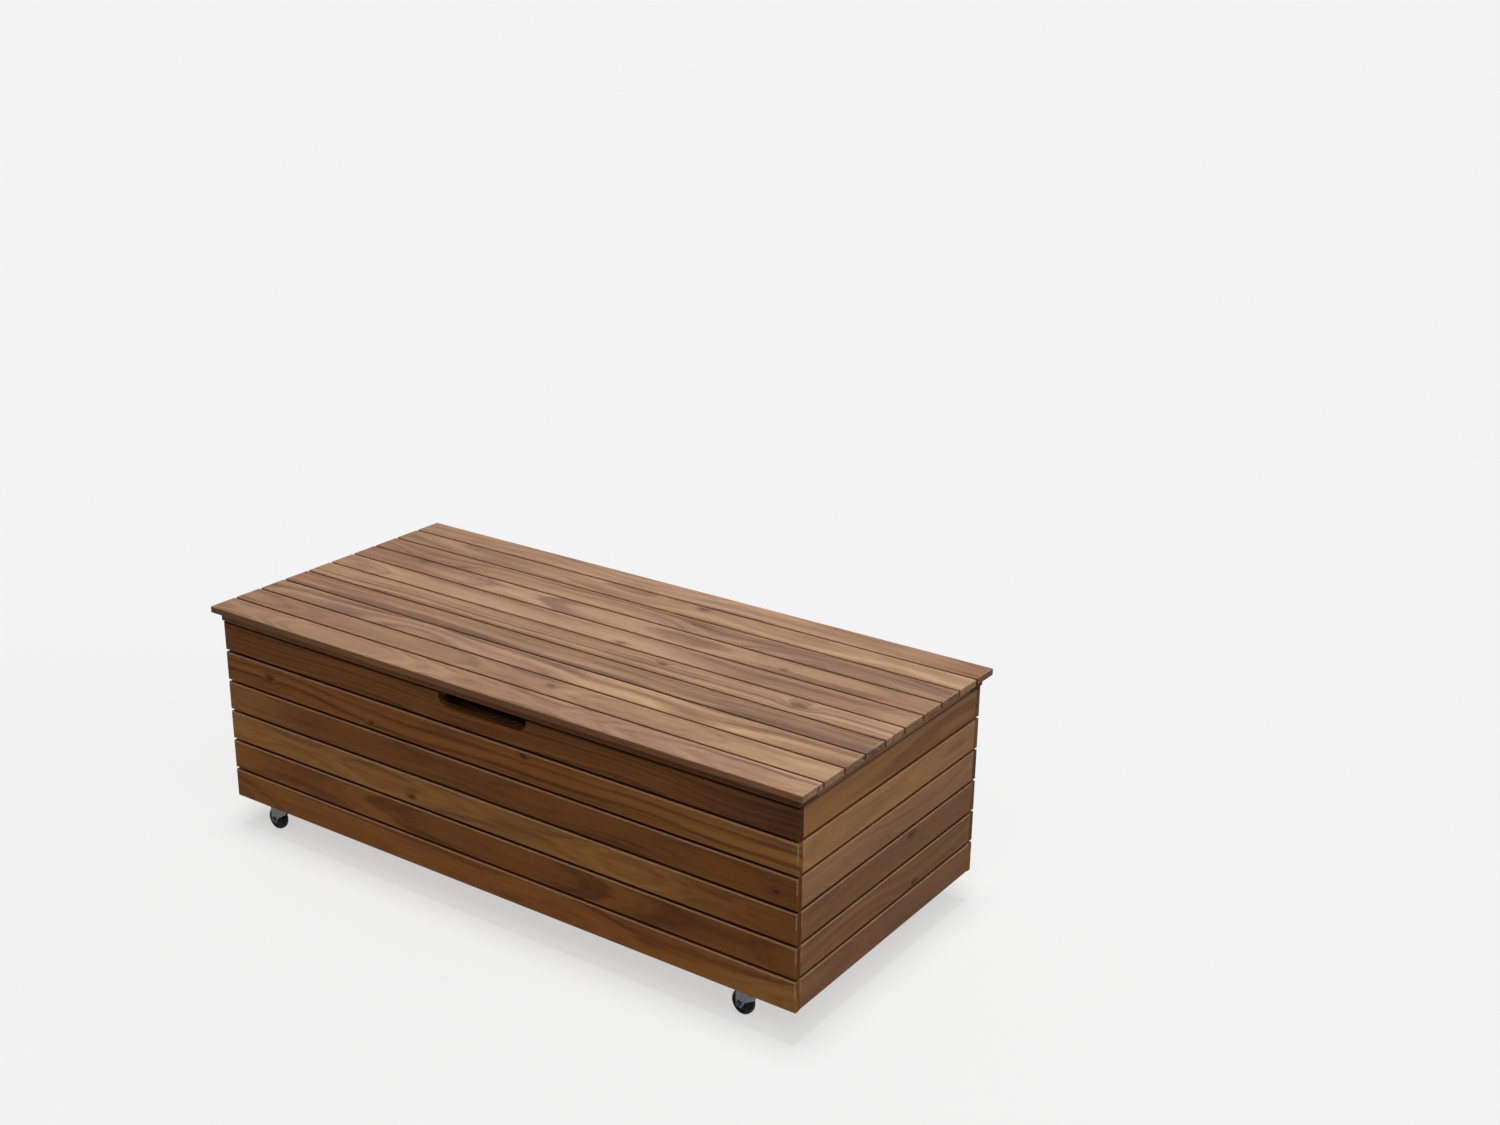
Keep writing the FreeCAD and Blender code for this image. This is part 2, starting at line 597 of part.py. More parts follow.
# ---- assembly -----------------------------------------------------------------------------------
def build():
    """Every node of the box, by name."""
    post_places, stile_places = wall_screw_places()
    post_screws, post_holes = screws_at(post_places, long_screw)
    stile_screws, stile_holes = screws_at(stile_places, stile_screw)
    rail_screws, rail_holes = screws_at(hinge_rail_screw_places(), hinge_rail_depth + screw_bite)
    lid_screws, lid_holes = screws_at(lid_screw_places(), lid_screw)
    floor_screws, floor_holes = screws_at(floor_screw_places(), floor_thick + deep_bite)
    ledger_screws, ledger_holes = screws_at(ledger_screw_places(), ledger_size + screw_bite)
    caster_screws, caster_holes = screws_at(caster_screw_places(), caster_plate_thick + deep_bite, True)
    bracket_screws, bracket_holes = screws_at(bracket_screw_places(), bracket_thick + screw_bite, True)
    hinge_screws = {}
    hinge_holes = {}
    for upper in (False, True):
        at = hinge_screw_places(upper)
        hinge_screws[upper] = [flat_head_screw(p, d, hinge_screw_length) for p, d in at]
        hinge_holes[upper] = [flat_head_screw(p, d, hinge_screw_length, fastener_clearance) for p, d in at]

    box_holes = post_holes + stile_holes + rail_holes + floor_holes + ledger_holes + caster_holes
    box_holes += hinge_holes[False] + [stay_stud_hole(s) for s in (-1, 1)]
    lid_cuts = lid_holes + bracket_holes + hinge_holes[True]

    nodes = {}
    for row in range(1, wall_rows + 1):
        slat = long_wall_slat(row, -1)
        if row == 1:
            slat = slat.cut(hand_notch())
        nodes[f"front_slat_{row}"] = drilled(slat, box_holes)
    rows = range(1, wall_rows + 1)
    nodes["back_slats"] = group([drilled(long_wall_slat(row, 1), box_holes) for row in rows])
    nodes["left_slats"] = group([drilled(short_wall_slat(row, -1), box_holes) for row in rows])
    nodes["right_slats"] = group([drilled(short_wall_slat(row, 1), box_holes) for row in rows])
    nodes["corner_posts"] = group([drilled(corner_post(sx, sy), box_holes) for sx, sy in corners.values()])
    nodes["wall_stiles"] = group([drilled(stile(sx, sy), box_holes) for sx, sy in corners.values()])
    nodes["hinge_rail"] = drilled(hinge_rail(), box_holes)
    nodes["floor_frame"] = group([drilled(part, box_holes) for part in floor_frame()])
    nodes["floor_boards"] = group([drilled(floor_board(row), box_holes) for row in range(floor_rows)])
    nodes["wall_screws"] = group(post_screws + stile_screws + rail_screws)
    nodes["floor_screws"] = group(floor_screws + ledger_screws)

    for row in range(1, lid_rows + 1):
        nodes[f"lid_slat_{row:02d}"] = drilled(lid_slat(row), lid_cuts)
    nodes["lid_rail_front"] = drilled(lid_long_rail(-1), lid_cuts)
    nodes["lid_rail_back"] = drilled(lid_long_rail(1), lid_cuts)
    nodes["lid_rail_left"] = drilled(lid_cross_rail(-rail_middle_x), lid_cuts)
    nodes["lid_rail_right"] = drilled(lid_cross_rail(rail_middle_x), lid_cuts)
    nodes["lid_battens"] = group([drilled(lid_cross_rail(s * batten_x), lid_cuts) for s in (-1, 1)])
    nodes["lid_screws"] = group(lid_screws)

    for name, upper in (("box", False), ("lid", True)):
        leaves = [drilled(hinge_leaf(s * hinge_x, upper), hinge_holes[upper]) for s in (-1, 1)]
        nodes[f"hinge_leaf_{name}"] = group(leaves)
        nodes[f"hinge_screws_{name}"] = group(hinge_screws[upper])
    nodes["hinge_pins"] = group([hinge_pin(s * hinge_x) for s in (-1, 1)])

    nodes["stay_arm_left"] = stay_arm(-1)
    nodes["stay_arm_right"] = stay_arm(1)
    nodes["stay_studs"] = group([stay_stud(s) for s in (-1, 1)])
    nodes["stay_brackets"] = group([drilled(stay_bracket(s), bracket_holes) for s in (-1, 1)])
    nodes["stay_rivets"] = group([stay_rivet(s) for s in (-1, 1)])
    nodes["stay_screws"] = group(bracket_screws)
    pad = lid_gap - pad_clearance
    nodes["lid_bumpers"] = group([rod(Vector(sx * post_x, sy * post_y, wall_top), Z, bumper_radius, pad)
                                  for sx, sy in corners.values()])

    plates = [drilled(caster_plate(name), caster_holes) for name in corners]
    nodes["caster_plates"] = group(plates)
    nodes["caster_screws"] = group(caster_screws)
    nodes["caster_kingpins"] = group([kingpin(name) for name in corners])
    for name in corners:
        nodes[f"caster_fork_{name}"] = caster_fork(name)
        nodes[f"caster_axle_{name}"] = caster_axle(name)
        nodes[f"caster_wheel_{name}"] = caster_wheel(name)
    return nodes


def main():
    os.makedirs("parts", exist_ok=True)
    nodes = build()
    for name, shape in nodes.items():
        shape.exportStep(f"parts/{name}.step")
    print(len(nodes), "nodes,", sum(len(s.Solids) for s in nodes.values()), "solids")
    print("lid hinge at", [0.0, round(pin_y, 3), round(pin_z, 3)], "opens", lid_opening)
    print("stay pivot at", [round(stay_x, 3), round(pivot_y, 3), round(pivot_z, 3)])
    print("stay reach closed, open", round(closed_reach, 2), round(open_reach, 2))
    print("swivel axes at", [round(swivel_x, 3), round(swivel_y, 3)])


main()
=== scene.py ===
import json
import math
import random
from types import SimpleNamespace

import bmesh
import bpy
from mathutils import Matrix, Vector


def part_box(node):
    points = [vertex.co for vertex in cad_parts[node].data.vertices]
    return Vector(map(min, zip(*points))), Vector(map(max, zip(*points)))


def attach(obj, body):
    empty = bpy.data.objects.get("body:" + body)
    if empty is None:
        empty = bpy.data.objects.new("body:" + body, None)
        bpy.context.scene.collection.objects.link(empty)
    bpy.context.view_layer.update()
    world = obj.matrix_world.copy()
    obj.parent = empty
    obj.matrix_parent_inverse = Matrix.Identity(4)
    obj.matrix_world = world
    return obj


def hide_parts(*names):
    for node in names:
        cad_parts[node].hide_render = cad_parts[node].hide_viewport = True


# A slatted hardwood storage box on four casters, with a hinged lid.
# The frame is in metres; boards, casters and grain are given in millimetres.

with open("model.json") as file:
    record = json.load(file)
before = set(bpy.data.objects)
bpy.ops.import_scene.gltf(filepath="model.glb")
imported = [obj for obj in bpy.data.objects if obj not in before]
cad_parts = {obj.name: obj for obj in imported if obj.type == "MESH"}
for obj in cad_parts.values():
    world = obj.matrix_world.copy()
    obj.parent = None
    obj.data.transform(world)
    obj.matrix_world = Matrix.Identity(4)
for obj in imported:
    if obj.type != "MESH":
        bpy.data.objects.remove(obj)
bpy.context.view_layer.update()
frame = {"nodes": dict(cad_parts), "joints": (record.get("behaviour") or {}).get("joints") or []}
nodes = frame["nodes"]
mm = 1000                   # millimetres in a metre
print("frame loaded,", len(nodes), "parts")


class Signal:
    # one output of a shader node, so that sums on it can be written as plain expressions
    def __init__(self, finish, socket):
        self.finish = finish
        self.socket = socket

    def maths(self, operation, *values):
        return self.finish.add("ShaderNodeMath", {"operation": operation}, dict(enumerate(values)))

    def __add__(self, other):
        return self.maths("ADD", self, other)

    def __radd__(self, other):
        return self.maths("ADD", other, self)

    def __sub__(self, other):
        return self.maths("SUBTRACT", self, other)

    def __rsub__(self, other):
        return self.maths("SUBTRACT", other, self)

    def __mul__(self, other):
        return self.maths("MULTIPLY", self, other)

    def __rmul__(self, other):
        return self.maths("MULTIPLY", other, self)

    def __truediv__(self, other):
        return self.maths("DIVIDE", self, other)

    def __rtruediv__(self, other):
        return self.maths("DIVIDE", other, self)

    def __pow__(self, other):
        return self.maths("POWER", self, other)

    def __rpow__(self, other):
        return self.maths("POWER", other, self)

    def __abs__(self):
        return self.maths("ABSOLUTE", self)

    def least(self, other):
        return self.maths("MINIMUM", self, other)

    def most(self, other):
        return self.maths("MAXIMUM", self, other)

    def whole(self):
        return self.maths("FLOOR", self)

    def root(self):
        return self.maths("SQRT", self)

    def ease(self, low, high):
        # 0 at low, 1 at high, smooth between; low may be the larger
        if low > high:
            return 1 - self.ease(high, low)
        return self.finish.add("ShaderNodeMapRange", {"interpolation_type": "SMOOTHSTEP"},
                               {"Value": self, "From Min": low, "From Max": high})

    def output(self, name):
        # another output of the same node
        return Signal(self.finish, self.socket.node.outputs[name])


class Finish:
    # a material, or the world's light, while its nodes are being laid
    def __init__(self, name, owner=None):
        self.owner = owner or bpy.data.materials.new(name)
        self.owner.use_nodes = True
        self.tree = self.owner.node_tree
        self.tree.nodes.clear()

    def add(self, kind, settings=None, inputs=None):
        # a node, its settings first and then the values or links of its sockets
        node = self.tree.nodes.new(kind)
        for name, value in (settings or {}).items():
            if name == "stops":
                ramp = node.color_ramp
                while len(ramp.elements) < len(value):
                    ramp.elements.new(1)
                for element, (place, colour) in zip(ramp.elements, value):
                    element.position = place
                    element.color = (*colour, 1)
            elif name == "blend":
                node.color_ramp.interpolation = value
            else:
                setattr(node, name, value)
        for key, value in (inputs or {}).items():
            if isinstance(value, Signal):
                self.tree.links.new(value.socket, node.inputs[key])
            else:
                node.inputs[key].default_value = value
        shown = [socket for socket in node.outputs if socket.enabled]
        return Signal(self, shown[0]) if shown else None

    def vector(self, x, y, z):
        return self.add("ShaderNodeCombineXYZ", None, {"X": x, "Y": y, "Z": z})

    def noise(self, place, detail=2, rough=0.5, scale=1):
        # smooth noise about one half; place is a vector, or one number for noise along a line
        solid = place.socket.type == "VECTOR"
        return self.add("ShaderNodeTexNoise", {"noise_dimensions": "3D" if solid else "1D"},
                        {"Vector" if solid else "W": place,
                         "Scale": scale, "Detail": detail, "Roughness": rough})

    def mix(self, amount, first, second, way="MIX"):
        # colours: first where amount is 0, second where it is 1
        ends = {6: first, 7: second}
        ends = {key: end if isinstance(end, Signal) else (*end, 1) for key, end in ends.items()}
        return self.add("ShaderNodeMix",
                        {"data_type": "RGBA", "blend_type": way, "clamp_factor": True},
                        {0: amount, **ends})

    def multiply(self, first, second):
        return self.mix(1, first, second, "MULTIPLY")

    def grey(self, value):
        return self.add("ShaderNodeCombineColor", None, {0: value, 1: value, 2: value})

    def bump(self, height, depthMm, strength):
        return self.add("ShaderNodeBump", None,
                        {"Height": height, "Distance": depthMm / mm, "Strength": strength})

    def surface(self, varying, even):
        # varying changes over the surface; even is the same everywhere, set on the shader itself
        shader = self.add("ShaderNodeBsdfPrincipled", None, {**varying, **even})
        self.add("ShaderNodeOutputMaterial", None, {"Surface": shader})
        return self.owner


def paint(node, material):
    # gives a part from the frame its finish, whatever slots it came with
    mesh = nodes[node].data
    mesh.materials.clear()
    mesh.materials.append(material)
    mesh.polygons.foreach_set("material_index", [0] * len(mesh.polygons))
    mesh.update()


# tones of the oiled hardwood, linear light; the shaded tones have painted shade in them
tones = {
    "paleGold": (0.410, 0.243, 0.134),
    "peach": (0.395, 0.228, 0.136),
    "warmTan": (0.335, 0.185, 0.103),
    "oliveTan": (0.285, 0.156, 0.084),
    "pinkTan": (0.315, 0.172, 0.105),
    "redBrown": (0.275, 0.133, 0.070),
    "umber": (0.200, 0.100, 0.052),
    "plum": (0.165, 0.084, 0.064),
    # painted shade: darker, more saturated copies of the wood tones, for the front, which faces away from
    # the light
    "shadedBrown": (0.197, 0.067, 0.013),
    "shadedOlive": (0.304, 0.128, 0.033),
    "shadedRed": (0.245, 0.083, 0.016),
    "shadedPlum": (0.115, 0.040, 0.014),
    # the wood's colour on the walls and most timbers, with the sheen of the side light painted in
    "sideOlive": (0.277, 0.117, 0.028),
    "sideTan": (0.344, 0.167, 0.055),
    "sideGrey": (0.292, 0.140, 0.055),
    "sideBrown": (0.185, 0.074, 0.022),
    # pale tone of the worn edges, with a painted highlight in it
    "wornAndHighlit": (0.430, 0.285, 0.185),
    "dark": (0.040, 0.016, 0.008),
}

# the shares by which light and dark are mixed, and lengths of the figure in mm
grain = {
    "wander": 9, "wanderLength": 330, "wanderWidth": 260,    # sideways drift of the grain
    "dip": 34, "dipLength": 420,        # how the pith rises and falls along a board
    "pithAcross": 45, "pithDeep": (28, 78),     # where the tree's middle lay, off the board
    "breakUp": (150, 14),   # length and width of the patches that break up the rings
    "band": 6.5, "bandShare": 0.85,     # broad light and dark bands
    "stripe": 3.4, "stripeLength": 520, "stripeDepth": 9, "stripeShare": 0.42,
    "ring": 2.1, "ringShare": 0.24,     # fine growth lines
    "fibre": (26, 0.8), "fibreShare": 0.42,
    "pore": (7, 0.42), "poreDarkness": 0.45,
    "blotch": (170, 40), "blotchShare": 0.45,
    "heart": 17, "heartLength": 240,    # width and length of the heartwood streaks
    "edgePatches": (30, 4),         # patches that break up the worn, highlit edges and the painted shade lines
    "edge": 2.6,            # width of the worn edge, paler with a painted highlight
    "grime": (60, 25), "grimeDarkness": 0.14,
    "relief": 0.05, "reliefStrength": 0.65,
    "endShade": (0.62, 0.56, 0.52),     # end grain takes more oil
    "endShare": 0.933,
    "rough": 0.50, "fibreRough": 0.22, "poreRough": 0.15,
    "endRough": 0.18, "blotchRough": 0.12, "wornRough": 0.06,
}

# a knot's reach, as shares of its radius: where it ends and where it is full
knotLook = {
    "stretch": 1.9,         # how much longer than wide it is
    "swellReach": 1.7, "swell": 1.5,    # how far and how strongly the grain bends round it
    "core": (0.62, 0.28), "coreRag": 0.9, "coreShare": 0.75,
    "halo": (1.5, 0.45), "haloRag": 1.2, "haloShare": 0.45,
    "rag": (7, 5), "wideRag": (14, 5),  # mm, the ragged outline's patches
    "otherRows": 500,       # mm, puts the knot out of reach of the other rows
}

# from dark lines to light ones, as a factor on the board's own tone
lineShades = [
    (0.10, (0.34, 0.27, 0.23)), (0.34, (0.72, 0.67, 0.63)), (0.5, (1.0, 1.0, 1.0)),
    (0.72, (1.26, 1.33, 1.30)), (0.92, (1.45, 1.60, 1.55)),
]

topRow = 5                  # walls have six rows, counted from 0 at the bottom

# what a board has unless it says otherwise; shares from 0 to 1
plainBoard = {
    "contrast": 1,
    "heart": 0.15,          # how much dark heartwood there is
    "heartTone": "plum",
    "knots": [],            # along, across, radius, and the row on a wall of several boards
    "knotDarkness": 0.85,
    "streaks": [],          # start, end, across, half width, tone, strength
    "edgeWearAndHighlight": 0.22,       # how pale a worn edge is, with a painted highlight on it
    "lowerEdgeShare": 1,         # the share of that on the lower or front edge; the upper or rear edge, which faces the light, has all of the painted highlight
    "sideShade": (0.72, 0.62, 0.52),     # painted shade: a darkening factor on the narrow side faces, in the joints and on the lid's front edge
    "topShade": 0,          # painted shade along the top board's upper edge, under the lid
    "bottomShade": 0,       # painted shade along the lower face's rim
    "gloss": 0.45,
    "rowShare": 0.8,        # how far each board of a wall has its own tone
}


def boardPlace(f, board):
    # where a point lies on its board, in mm from its middle, and which way its face looks
    rng = random.Random(board["seed"])
    here = f.add("ShaderNodeTexCoord")
    place = f.add("ShaderNodeSeparateXYZ", None, {"Vector": here.output("Object")})
    facing = f.add("ShaderNodeSeparateXYZ", None, {"Vector": here.output("Normal")})
    middle, half = board["middle"], board["half"]
    seed = board["seed"]
    p = SimpleNamespace(half=half)
    p.u = place.output(board["along"]) * mm - middle[0]
    p.w = place.output(board["deep"]) * mm - middle[2]
    v = place.output(board["across"]) * mm
    p.endFace = abs(facing.output(board["along"])) ** 4
    p.sideFace = abs(facing.output(board["across"])) ** 14
    shallow, deep = grain["pithDeep"]
    if "rows" in board:
        # several boards side by side: row counts them, and v starts again on each
        p.halfAcross = board["rowHalf"]
        v = v - (middle[1] - half[1])
        p.row = (v / board["rows"]).whole()
        p.v = v - p.row * board["rows"] - p.halfAcross
        chance = f.add("ShaderNodeTexWhiteNoise", {"noise_dimensions": "1D"},
                       {"W": p.row + seed * 0.37})
        second = f.add("ShaderNodeSeparateColor", None, {"Color": chance.output("Color")})
        p.shift = p.row * 113.7 + seed * 71.3
        p.pithAcross = (chance.output("Value") - 0.5) * (2 * grain["pithAcross"])
        p.pithDeep = second.output("Green") * (deep - shallow) + shallow
    else:
        p.row = None
        p.v = v - middle[1]
        p.halfAcross = half[1]
        p.shift = seed * 71.3
        p.pithAcross = rng.uniform(-grain["pithAcross"], grain["pithAcross"])
        p.pithDeep = rng.uniform(shallow, deep)
    return p


def woodFinish(name, board):
    # board: along, across, deep (axis letters), middle and half (mm), seed, body (tones along it)
    board = {**plainBoard, **board}
    f = Finish(name)
    p = boardPlace(f, board)
    u, v, w, row = p.u, p.v, p.w, p.row

    def patches(size, detail, rough, shift=p.shift):
        # noise drawn out along the board; size is the length and width of its patches
        length, width = size
        return f.noise(f.vector(u / length + shift, v / width, w / width), detail, rough)

    # the grain follows rings round a pith that wanders along the board
    across = v / grain["wanderWidth"]
    if row is not None:
        across = across + row * 3.3
    deep = w / grain["wanderWidth"] + board["seed"] * 1.7
    drift = f.noise(f.vector(u / grain["wanderLength"], across, deep), 2, 0.45)
    sway = (drift - 0.5) * (2 * grain["wander"])
    dip = f.noise(u / grain["dipLength"] + p.shift, 1) - 0.5
    grainV = v + sway - p.pithAcross
    grainW = w + p.pithDeep + dip * grain["dip"]

    knotDark = None
    for at, side, size, *onRow in board["knots"]:
        ku = (u - at) / knotLook["stretch"]
        kv = v - side
        if onRow:
            kv = kv + abs(row - onRow[0]) * knotLook["otherRows"]
        far = (ku * ku + kv * kv).root()
        swell = (far / (size * knotLook["swellReach"])).ease(1, 0)
        grainV = grainV + swell * size * knotLook["swell"]
        ragged = far + (patches(knotLook["rag"], 2, 0.5, 0) - 0.5) * size * knotLook["coreRag"]
        core = ragged.ease(*[size * reach for reach in knotLook["core"]])
        ragged = far + (patches(knotLook["wideRag"], 2, 0.5, 0) - 0.5) * size * knotLook["haloRag"]
        halo = ragged.ease(*[size * reach for reach in knotLook["halo"]])
        spot = (core * knotLook["coreShare"] + halo * knotLook["haloShare"]).least(1)
        knotDark = spot if knotDark is None else knotDark.most(spot)

    rings = (grainV * grainV + grainW * grainW).root()
    breakUp = patches(grain["breakUp"], 3, 0.55) - 0.5
    bands = f.noise(rings / grain["band"] + breakUp * 0.8 + p.shift, 2, 0.55)
    lines = f.noise(rings / grain["ring"] + breakUp * 1.5 + p.shift, 1, 0.5)
    fibre = patches(grain["fibre"], 3, 0.65)
    pores = patches(grain["pore"], 1, 0.4).ease(0.64, 0.76)
    stripes = f.noise(f.vector(u / grain["stripeLength"] + p.shift,
                               (v + sway * 0.5) / grain["stripe"],
                               w / grain["stripeDepth"]), 2, 0.6)
    blotch = patches(grain["blotch"], 2, 0.5)

    # the board's own tone changes along its length, and on a wall from row to row
    half = p.half[0]
    stops = [((at + half) / (2 * half), tones[tone]) for at, tone in board["body"]]
    body = f.add("ShaderNodeValToRGB", {"stops": stops, "blend": "EASE"},
                 {"Fac": (u + sway * 4) / (2 * half) + 0.5})
    if row is not None:
        count = len(board["rowTones"])
        stops = [((i + 0.001) / count, tones[tone]) for i, tone in enumerate(board["rowTones"])]
        rowTone = f.add("ShaderNodeValToRGB", {"stops": stops, "blend": "CONSTANT"},
                        {"Fac": (row + 0.5) / count})
        body = f.mix(board["rowShare"], body, rowTone)

    # light and dark along the grain
    level = ((bands - 0.5) * grain["bandShare"] + (stripes - 0.5) * grain["stripeShare"]
             + (lines - 0.5) * grain["ringShare"] + (fibre - 0.5) * grain["fibreShare"]
             + (blotch - 0.5) * grain["blotchShare"])
    level = level * board["contrast"] + 0.5
    colour = f.multiply(body, f.add("ShaderNodeValToRGB", {"stops": lineShades}, {"Fac": level}))

    # dark heartwood, from the rings and where it was placed
    heart = board["heart"]
    streak = f.noise(rings / grain["heart"] + breakUp * 0.5 + p.shift * 1.31 + 5, 2, 0.6)
    streak = streak + (f.noise(u / grain["heartLength"] + p.shift, 1) - 0.5) * 0.35
    streak = streak.ease(0.72 - heart * 0.5, 0.80 - heart * 0.42)
    colour = f.mix(streak * (0.35 + fibre * 0.55), colour, tones[board["heartTone"]])
    fade = 60       # mm over which a placed streak starts and ends
    for start, finish, side, width, tone, strength in board["streaks"]:
        along = u.ease(start - fade, start + fade) * u.ease(finish + fade, finish - fade)
        off = abs(v + sway * 0.6 - side) + (fibre - 0.5) * width * 1.2
        mask = off.ease(width, width * 0.25) * along * strength
        colour = f.mix(mask, colour, tones[tone])
    if knotDark is not None:
        colour = f.mix(knotDark * board["knotDarkness"], colour, tones["dark"])
    colour = f.mix(pores * grain["poreDarkness"], colour, tones["dark"])

    # worn edges, paler with a painted highlight that is strongest on the upper or rear edge: a point is as
    # near to an edge as to the second nearest of its faces
    fromAlong = half - abs(u)
    fromAcross = p.halfAcross - abs(v)
    fromDeep = p.half[2] - abs(w)
    nearest = fromAcross.least(fromDeep)
    second = fromAcross.most(fromDeep).least(fromAlong)
    edgePatches = patches(grain["edgePatches"], 3, 0.6)
    wornAndHighlit = (nearest.most(second) + (edgePatches - 0.5) * 1.6).ease(grain["edge"], 0.3) * (1 - p.endFace)
    # painted highlight: the upper or rear edge takes the full lift, the lower or front edge only its share
    upper = v.ease(-2, 2) * (1 - board["lowerEdgeShare"]) + board["lowerEdgeShare"]
    colour = f.mix(wornAndHighlit * upper * board["edgeWearAndHighlight"], colour, tones["wornAndHighlit"])
    colour = f.mix(p.endFace * grain["endShare"], colour, f.multiply(colour, grain["endShade"]))
    # painted shade on the narrow side faces
    colour = f.mix(p.sideFace, colour, f.multiply(colour, board["sideShade"]))

    # painted shade under the lid and along the lid frame's lower rim, and a little dirt everywhere
    if board["topShade"]:
        # painted shade: a dark line along the top edge, under the lid
        stainAndShade = (v + (edgePatches - 0.5) * 1.2).ease(p.halfAcross - 3.0, p.halfAcross - 1.4)
        if row is not None:
            stainAndShade = stainAndShade * row.ease(topRow - 0.6, topRow - 0.4)
        colour = f.mix(stainAndShade * board["topShade"], colour, tones["dark"])
    if board["bottomShade"]:
        # painted shade: a dark line along the lower rim, where the lid frame sits on the walls
        stainAndShade = (w + (edgePatches - 0.5)).ease(1.2 - p.half[2], 0.2 - p.half[2])
        colour = f.mix(stainAndShade * board["bottomShade"], colour, tones["dark"])
    grime = patches(grain["grime"], 3, 0.6).ease(0.52, 0.75)
    colour = f.mix(grime * grain["grimeDarkness"], colour, tones["umber"])

    rough = (grain["rough"] + (0.5 - fibre) * grain["fibreRough"] + pores * grain["poreRough"]
             + p.endFace * grain["endRough"] + (blotch - 0.5) * grain["blotchRough"]
             - wornAndHighlit * grain["wornRough"])
    relief = fibre * 0.5 + lines * 0.5 - pores * 1.2
    normal = f.bump(relief, grain["relief"], grain["reliefStrength"])
    return f.surface({"Base Color": colour, "Roughness": rough, "Normal": normal},
                     {"IOR": 1.45, "Specular IOR Level": board["gloss"]})


def axisOrder(node, along, across, deep):
    # middle and half sizes of a board's box in mm, in the order along, across, deep
    low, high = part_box(node)
    order = ["XYZ".index(letter) for letter in (along, across, deep)]
    return {
        "along": along, "across": across, "deep": deep,
        "middle": [mm * (low[i] + high[i]) / 2 for i in order],
        "half": [mm * (high[i] - low[i]) / 2 for i in order],
    }


# lid boards from the front to the back; places along a board are mm from its middle
lidBoards = {
    1: {"body": [(-530, "oliveTan"), (-100, "warmTan"), (250, "pinkTan"), (530, "peach")], "heart": 0.03,
        "streaks": [(330, 560, 13, 5, "plum", 0.8)]},
    2: {"body": [(-530, "redBrown"), (-200, "oliveTan"), (200, "warmTan"), (530, "paleGold")], "heart": 0.06,
        "knots": [(73, 1, 8)]},
    3: {"body": [(-530, "oliveTan"), (-80, "pinkTan"), (240, "paleGold"), (530, "warmTan")], "heart": 0.14},
    4: {"body": [(-530, "redBrown"), (0, "oliveTan"), (530, "oliveTan")], "heart": 0.38, "contrast": 1.3,
        "streaks": [(250, 560, -9, 9, "plum", 0.7)]},
    5: {"body": [(-530, "warmTan"), (100, "warmTan"), (530, "peach")], "heart": 0.08,
        "knots": [(381, 0, 14), (148, 5, 7)]},
    6: {"body": [(-530, "warmTan"), (120, "peach"), (360, "pinkTan"), (530, "warmTan")], "heart": 0.1,
        "knots": [(53, -17, 8)]},
    7: {"body": [(-530, "redBrown"), (-130, "peach"), (530, "warmTan")], "heart": 0.0,
        "streaks": [(-560, -200, 8, 6, "plum", 0.5)],
        "knots": [(-411, 17, 6), (298, -10, 7)]},
    8: {"body": [(-530, "redBrown"), (-100, "warmTan"), (240, "pinkTan"), (530, "oliveTan")], "heart": 0.3,
        "contrast": 1.15, "streaks": [(200, 560, 4, 14, "plum", 0.55)]},
    9: {"body": [(-530, "oliveTan"), (0, "warmTan"), (530, "paleGold")], "heart": 0.05,
        "knots": [(72, 13, 9)]},
    10: {"body": [(-530, "warmTan"), (100, "peach"), (400, "warmTan"), (530, "redBrown")], "heart": 0.07},
}
lidShared = {
    "sideShade": (0.58, 0.36, 0.16), "knotDarkness": 0.62, "edgeWearAndHighlight": 0.75, "lowerEdgeShare": 0.25,
}
for row, look in lidBoards.items():
    node = f"lid_slat_{row:02d}"
    board = {**axisOrder(node, "X", "Y", "Z"), "seed": 10 + row, **lidShared, **look}
    paint(node, woodFinish(f"lidBoard{row}", board))
print("lid boards finished")

# front boards from the top to the bottom
# the front boards take the shaded tones, with painted shade
frontBoards = {
    1: {"body": [(-518, "shadedBrown"), (250, "shadedBrown"), (518, "shadedPlum")], "heart": 0.12,
        "edgeWearAndHighlight": 0.0, "topShade": 0.85},
    2: {"body": [(-518, "shadedRed"), (100, "shadedRed"), (518, "shadedOlive")], "heart": 0.18,
        "knots": [(-424, 2, 7), (-215, -13, 6), (73, 16, 6)]},
    3: {"body": [(-518, "shadedOlive"), (-300, "shadedBrown"), (518, "shadedBrown")], "heart": 0.12,
        "knots": [(486, -4, 6)]},
    4: {"body": [(-518, "shadedOlive"), (200, "shadedOlive"), (518, "shadedBrown")], "heart": 0.1,
        "knots": [(-141, -11, 6)]},
    5: {"body": [(-518, "shadedRed"), (0, "shadedBrown"), (518, "shadedBrown")], "heart": 0.22},
    6: {"body": [(-518, "shadedRed"), (300, "shadedRed"), (518, "shadedOlive")], "heart": 0.1},
}
frontShared = {"gloss": 0.12, "heartTone": "shadedPlum", "edgeWearAndHighlight": 0.85, "lowerEdgeShare": 0.05}
for row, look in frontBoards.items():
    node = f"front_slat_{row}"
    board = {**axisOrder(node, "X", "Z", "Y"), "seed": 30 + row, **frontShared, **look}
    paint(node, woodFinish(f"frontBoard{row}", board))
print("front boards finished")

